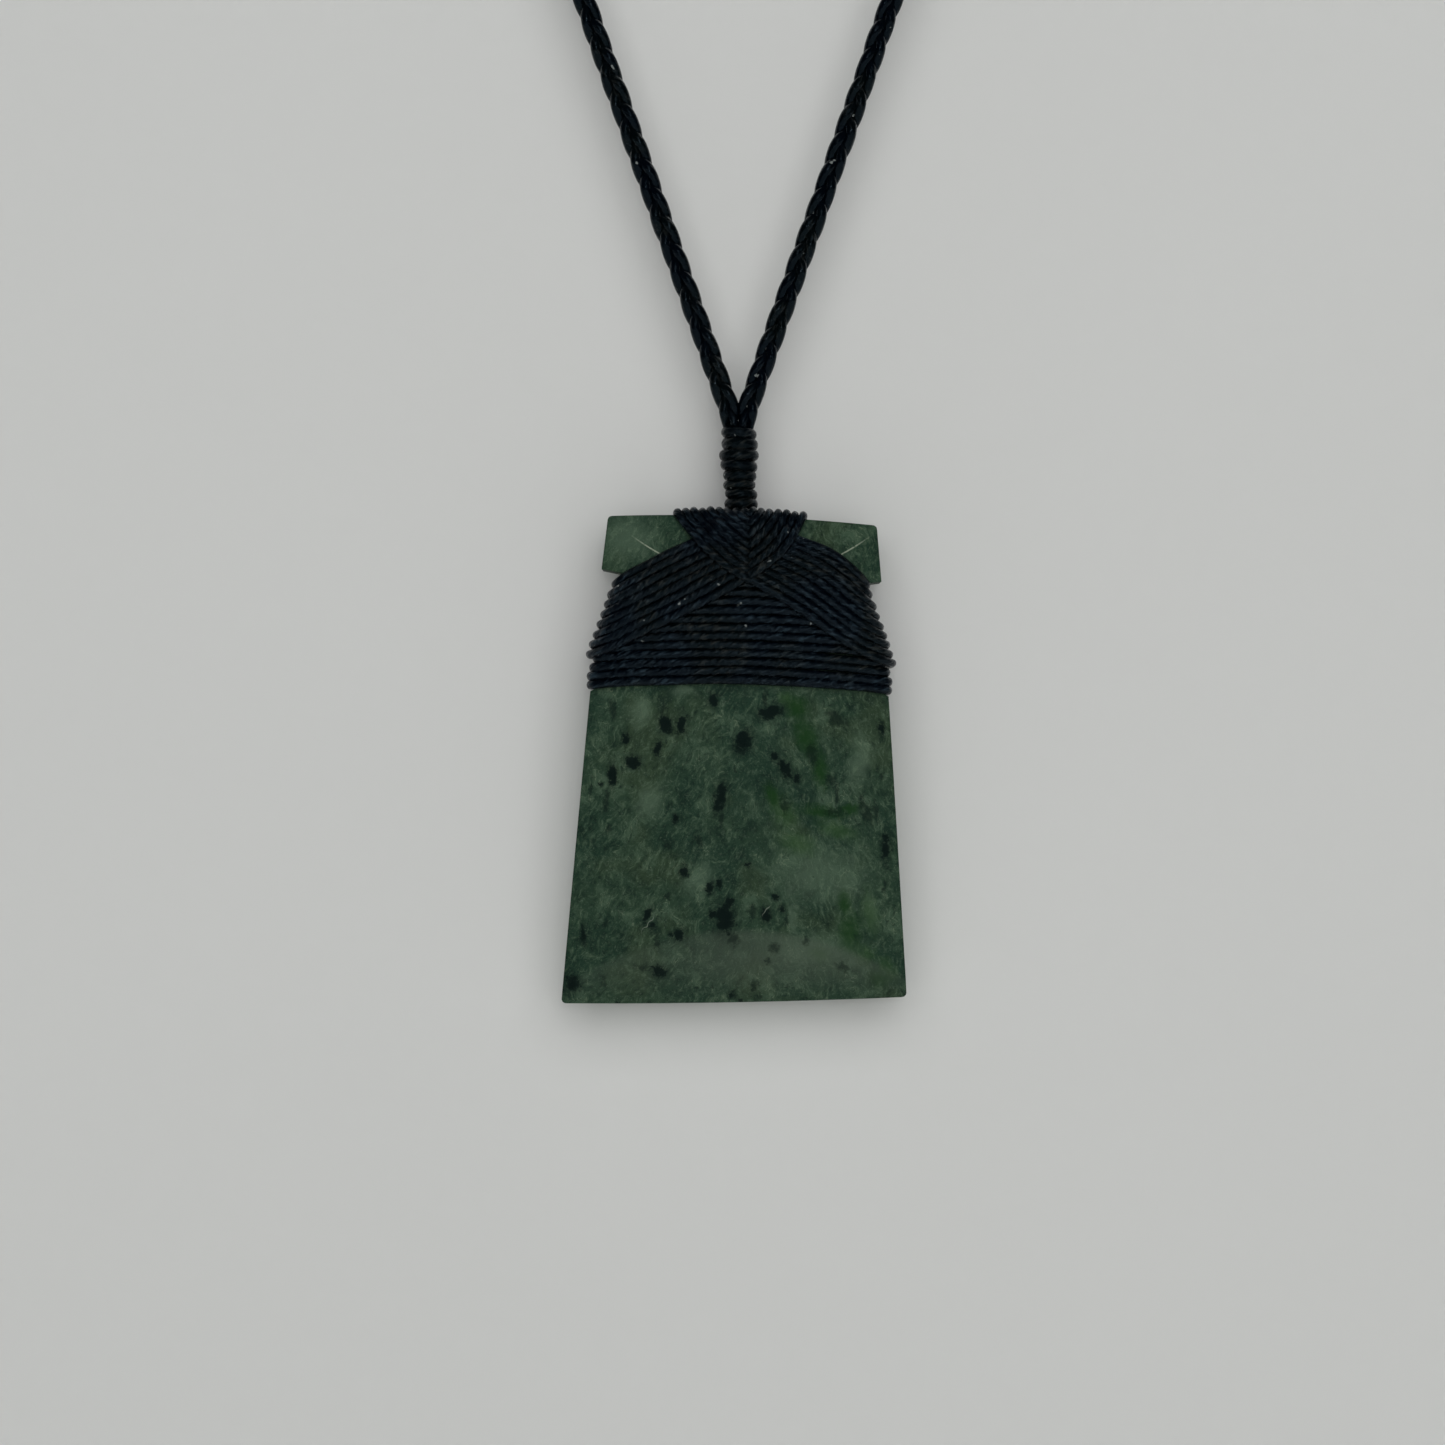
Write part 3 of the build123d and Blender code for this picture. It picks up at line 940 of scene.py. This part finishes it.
def greenstone_blade():
    """A grid laid over the outline, drawn out to both faces, with every edge rounded."""
    rows = []
    for index, (upper, lower) in enumerate(zip(levels, levels[1:])):
        count = max(int(round((lower.drop - upper.drop) / row_height)), 1)
        rows += [index + step / count for step in range(count)]
    rows.append(len(levels) - 1)
    shape = bmesh.new()
    bmesh.ops.create_grid(shape, x_segments=columns, y_segments=len(rows) - 1, size=1.0)
    for vertex in shape.verts:
        row = int(round((1 - vertex.co.y) / 2 * (len(rows) - 1)))
        level = level_at(rows[row])
        across = vertex.co.x * level.half
        vertex.co = (across, 0, level_height(level, across))
    front = list(shape.faces)
    grown = bmesh.ops.extrude_face_region(shape, geom=front)["geom"]
    back = [part for part in grown if isinstance(part, bmesh.types.BMVert)]
    behind = set(back)
    for vertex in shape.verts:
        side = -1 if vertex in behind else 1
        vertex.co.y = -side * stone_reach(side, vertex.co.x, vertex.co.z)
    bmesh.ops.recalc_face_normals(shape, faces=shape.faces)
    for face in shape.faces:
        face.normal_update()
    rim = [edge for edge in shape.edges if edge.calc_face_angle(0) > rim_angle]
    bmesh.ops.bevel(
        shape,
        geom=rim,
        offset=arris,
        segments=3,
        profile=0.5,
        affect="EDGES",
        material=-1,
        clamp_overlap=True,
    )
    shape.transform(stone_place)
    mesh = smooth_mesh(shape, "greenstone_blade")
    made = piece("greenstone_blade", mesh, stone_finish)
    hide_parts("adze_blade")


stone_finish = greenstone()
greenstone_blade()


# Binding

waist_radius = 0.53 * thread  # before it is pressed flat
lashing_radius = 0.52 * thread
bow = 0.85  # of the waist wrap's lowest turn, up in the middle of each face
first_bow = 0.55  # of that, on the top turn
more_bow = 0.45  # of that, gained on the way down
pitch = (wrap_foot_drop - wrap_head_drop) / wrap_turns
face_points = 81  # of a turn, across each face
turn_step = 0.5  # from one ring of a thread's vertices to the next
loop_step = 0.4
round_corner = np.linspace(0, math.pi / 2, 7)  # angles of a thread's bend round a side
band_half = 0.6 * thread  # of the strip in which a thread lifts the other family
cell = 0.1  # of the grid in which a cover is kept
cover_across = (-21, 21)
cover_up = (-23, 3)


class Cover:
    """How far the stone, and the thread laid on it so far, reach in front and behind."""

    def __init__(self):
        self.across = np.arange(*cover_across, cell)
        self.up = np.arange(*cover_up, cell)
        across, up = np.meshgrid(self.across, self.up, indexing="ij")
        self.reach = {side: stone_reach(side, across, up) for side in (1, -1)}

    def cells(self, across, up):
        """The grid's column and row at these places."""
        column = np.clip(np.round((across - self.across[0]) / cell).astype(int), 0, len(self.across) - 1)
        row = np.clip(np.round((up - self.up[0]) / cell).astype(int), 0, len(self.up) - 1)
        return column, row

    def over(self, side, across, up):
        """The reach at these places."""
        return self.reach[side][self.cells(across, up)]

    def lay(self, ring, radius):
        """Adds a closed thread, in the stone's view."""
        span = int(radius / cell) + 1
        for place in even(ring, 2 * cell, closed=True):
            side = 1 if place[1] < 0 else -1
            column, row = self.cells(place[0], place[2])
            columns = slice(max(column - span, 0), column + span + 1)
            rows = slice(max(row - span, 0), row + span + 1)
            away = (self.across[columns, None] - place[0]) ** 2 + (self.up[None, rows] - place[2]) ** 2
            top = abs(place[1]) + np.sqrt(np.maximum(radius**2 - away, 0))
            top[away > radius**2] = 0
            patch = self.reach[side][columns, rows]
            np.maximum(patch, top, out=patch)

    def band(self, routes):
        """Where the threads of one family lie: 1 under a thread and 0 elsewhere."""
        laid = np.zeros((len(self.across), len(self.up)))
        span = int(band_half / cell)
        for route in routes:
            for place in even(route, 3 * cell):
                column, row = self.cells(place[0], place[2])
                laid[max(column - span, 0):column + span + 1, max(row - span, 0):row + span + 1] = 1
        return laid


def hull(points):
    """The convex hull of points in a plane, in order round it."""
    ordered = sorted(map(tuple, points))

    def chain(places):
        kept = []
        for place in places:
            while len(kept) > 1:
                (ax, ay), (bx, by) = kept[-2:]
                if (bx - ax) * (place[1] - ay) - (by - ay) * (place[0] - ax) > 0:
                    break
                kept.pop()
            kept.append(place)
        return kept[:-1]

    return np.array(chain(ordered) + chain(ordered[::-1]))


def relaxed(line, times):
    """A closed line with its sharp bends eased."""
    for _ in range(times):
        line = (np.roll(line, 1, axis=0) + 2 * line + np.roll(line, -1, axis=0)) / 4
    return line


def girdle(drop, turns_bow):
    """One turn of thread round the seat, bowed upwards in the middle of each face."""
    half = seat_half_width(drop)
    points = []
    for side in (1, -1):
        for across in np.linspace(-half, half, face_points):
            reach = stone_reach(side, across, -drop) + first_layer
            points.append((across, -side * reach))
        for hand in (-1, 1):
            edge = stone_reach(side, hand * half, -drop)
            for angle in round_corner:
                across = hand * (half + first_layer * math.cos(angle))
                points.append((across, -side * (edge + first_layer * math.sin(angle))))
    ring = relaxed(even(hull(points), turn_step, closed=True), 2)
    up = -drop + turns_bow * (1 - (ring[:, 0] / half) ** 2)
    return np.stack([ring[:, 0], ring[:, 1], up], axis=1)


def to_scene(line):
    """Places in the stone's view as places in the scene, in millimetres."""
    turned = np.array(Matrix.Rotation(stone_lean, 3, "Y"))
    origin = np.array((stone_shift, 0, stone_top))
    return line @ turned.T + origin


def waist_threads(cover):
    """The turns round the seat, from the top one down, each bowed a little more."""
    turns = []
    for turn in range(wrap_turns):
        drop = wrap_head_drop + (turn + 0.5) * pitch
        share = turn / (wrap_turns - 1)
        ring = girdle(drop, bow * (first_bow + more_bow * share))
        ring[:, 2] += wander(len(ring), every=9, reach=0.08, closed=True)
        turns.append(ring)
        cover.lay(ring, thread / 2)
    turns = [to_scene(turn) for turn in turns]
    aways = [outwards(turn) for turn in turns]
    made = wound("waist_threads", turns, waist_radius, thread_finish, aways=aways)
    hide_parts("waist_wrap")


# Lashing

# A rung of a ladder from the outermost thread of a family to its innermost. The rungs go from the
# top edge of the stone round to its side.
Rung = namedtuple("Rung", "outer outer_up inner inner_up")
left_family = [
    Rung(-7.9, 0.9, -0.27, 0.9),
    Rung(-7.1, -0.4, 0.35, -0.05),
    Rung(-5.6, -2.25, 1.7, -0.65),
    Rung(-3.75, -4.25, 3.3, -1.25),
    Rung(-1.7, -6.15, 5.0, -2.05),
    Rung(1.5, -7.65, 6.9, -2.9),
    Rung(4.6, -9.25, 9.2, -3.55),
    Rung(8.3, -11.65, 11.3, -4.65),
    Rung(12.2, -14.45, 13.2, -6.25),
    Rung(15.4, -16.15, 14.5, -7.75),
    Rung(17.8, -16.85, 15.1, -8.65),
    Rung(19.5, -17.05, 16.5, -9.45),
]
right_family = [
    Rung(7.4, 0.9, 0.6, 0.9),
    Rung(6.75, -0.4, 0.0, -0.05),
    Rung(5.95, -2.15, -1.3, -0.8),
    Rung(4.7, -4.15, -2.9, -1.7),
    Rung(2.5, -6.05, -4.6, -2.65),
    Rung(-1.0, -8.1, -6.4, -3.6),
    Rung(-4.5, -10.1, -8.6, -4.55),
    Rung(-8.2, -12.0, -10.6, -5.7),
    Rung(-12.0, -13.95, -12.4, -6.65),
    Rung(-15.5, -15.75, -13.9, -7.65),
    Rung(-17.6, -16.35, -14.9, -8.55),
    Rung(-19.3, -16.65, -16.3, -9.35),
]
left_threads = 9
right_threads = 8
crossing_lift = 0.6  # of a thread's thickness, where it lies over the other family
climb = 0.7  # half the length in which it climbs
middle_rise = 0.25  # of the threads over the top edge, drawn up to the neck whipping
rise_share = 0.8  # of that, at the top edge
rise_fade = 3.0  # the height in which it would fade out
arm_half_width = 7.5  # of the V along the top edge
ridge = 0.45  # across, where the two families cross in the middle
left_lead = 0.35  # how far past the ridge a thread of the left family stays on top
right_lead = -0.45  # and one of the right family
side_give = 0.2  # how far in the bend round the stone's side is centred


def family_routes(rungs, count):
    """The routes of a family's threads in the stone's view, from the innermost to the outermost."""
    outer = smooth_line([(rung.outer, 0, rung.outer_up) for rung in rungs], 4)
    inner = smooth_line([(rung.inner, 0, rung.inner_up) for rung in rungs], 4)
    shares = np.linspace(0, 1, count)
    return [outer + (inner - outer) * share for share in shares[::-1]]


def eased(values, reach):
    """Values along a line, averaged over this many neighbours each way."""
    window = np.hanning(2 * reach + 3)[1:-1]
    padded = np.pad(values, reach, mode="edge")
    return np.convolve(padded, window / window.sum(), mode="valid")


def taut_loop(route, cover):
    """A closed loop drawn tight over both faces along a route: distance along it, and depth."""
    way = travelled(route)
    across, up = route[:, 0], route[:, 2]
    past_side = np.abs(across) > seat_half_width(-up) + gap + thread
    on_face = (up < level_height(levels[0], across)) & ~(past_side & (up < -waist_drop))
    start = way[on_face].min()
    end = way[on_face].max()
    points = []
    for side in (1, -1):
        reach = cover.over(side, across[on_face], up[on_face]) + thread / 2
        points += list(zip(way[on_face], -side * reach))
        face = front_face if side > 0 else back_face
        last = stone_reach(side, across[on_face][-1], up[on_face][-1]) - side_give
        for angle in round_corner:
            further = first_layer * math.sin(angle)
            out = first_layer * math.cos(angle)
            points.append((start - further, -side * (face.head_edge + out)))
            points.append((end + further, -side * (last + out)))
    return relaxed(even(hull(points), loop_step, closed=True), 3)


def crossed_loop(route, cover, under, lead):
    """A loop in the stone's view. It climbs over the other family, and passes under it past the ridge."""
    loop = taut_loop(route, cover)
    way = travelled(route)
    step = way[-1] / (len(way) - 1)
    past = way - way[np.argmin(np.abs(route[:, 0] - ridge))]
    above = under[cover.cells(route[:, 0], route[:, 2])]
    above = np.where(past < lead, above, 0)
    lift = eased(above, int(climb / step)) * thread * crossing_lift
    across, lifted, up = [np.interp(loop[:, 0], way, values) for values in (route[:, 0], lift, route[:, 2])]
    depth = loop[:, 1] + np.sign(loop[:, 1]) * lifted
    return np.stack([across, depth, up], axis=1)


def lashing_threads(cover):
    """Both families of loops. Each lies on top on its own side of the ridge."""
    left = family_routes(left_family, left_threads)
    right = family_routes(right_family, right_threads)
    families = [(left, cover.band(right), left_lead), (right, cover.band(left), right_lead)]
    loops = []
    for routes, under, lead in families:
        for route in routes:
            loop = crossed_loop(route, cover, under, lead)
            raised = 1 - (loop[:, 0] / arm_half_width) ** 2
            raised = np.clip(raised, 0, 1) * np.clip(loop[:, 2] / rise_fade + rise_share, 0, 1)
            loop[:, 2] += middle_rise * raised + wander(len(loop), every=8, reach=0.07, closed=True)
            loops.append(to_scene(loop))
    aways = [outwards(loop) for loop in loops]
    made = wound("lashing_threads", loops, lashing_radius, thread_finish, aways=aways)
    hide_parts("cross_lashing")


cover = Cover()
waist_threads(cover)
lashing_threads(cover)


# Neck whipping

# A turn: its rise, its reach from the middle, its shift across, and its slope
Turn = namedtuple("Turn", "rise reach shift tilt")
whipping_turns = [
    Turn(1.25, 1.93, 0.15, 0.02),
    Turn(1.05, 1.87, 0.15, -0.03),
    Turn(0.95, 1.87, -0.05, 0.05),
    Turn(1.15, 1.95, 0.0, 0.0),
    Turn(1.15, 2.15, -0.1, -0.04),
    Turn(1.15, 2.3, -0.08, 0.04),
    Turn(1.35, 2.12, 0.0, 0.0),
    Turn(1.15, 2.06, -0.1, -0.05),
]
whipping_sink = 0.3  # of the first turn, down onto the lashing
whipping_radius = 0.56  # of a turn's rise, before it is pressed flat
turn_steps = 36
turn_climb = 0.25  # of its rise, which a turn climbs by itself


def whipping_thread():
    """One thread wound tight round both ends of the cord, from the foot up."""
    scale = (whipping_height + whipping_sink) / sum(turn.rise for turn in whipping_turns)
    height = whipping_foot - whipping_sink
    line, thickness = [], []
    for turn in whipping_turns:
        rise = turn.rise * scale
        radius = rise * whipping_radius
        reach = turn.reach - radius * pressed
        for step in range(turn_steps):
            angle = 2 * math.pi * step / turn_steps
            aside = reach * math.sin(angle)
            climbed = rise * (0.5 + turn_climb * (step / turn_steps - 0.5))
            line.append((turn.shift + aside, reach * math.cos(angle), height + climbed + turn.tilt * aside))
            thickness.append(radius)
        height += rise
    line = np.array(line)
    line[:, 2] += wander(len(line), every=12, reach=0.06)
    away = line * (1, 1, 0)
    away /= np.linalg.norm(away, axis=1)[:, None]
    thickness = np.array(thickness)
    made = wound("whipping_thread", [line], thickness, whipping_finish, False, aways=[away])
    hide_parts("neck_whipping")


whipping_thread()


# Clasp

clasp_finish = plain("clasp", tone(24, 24, 25), 0.35)
clasp_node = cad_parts["nape_clasp"]
clasp_node.data.materials.clear()
clasp_node.data.materials.append(clasp_finish)
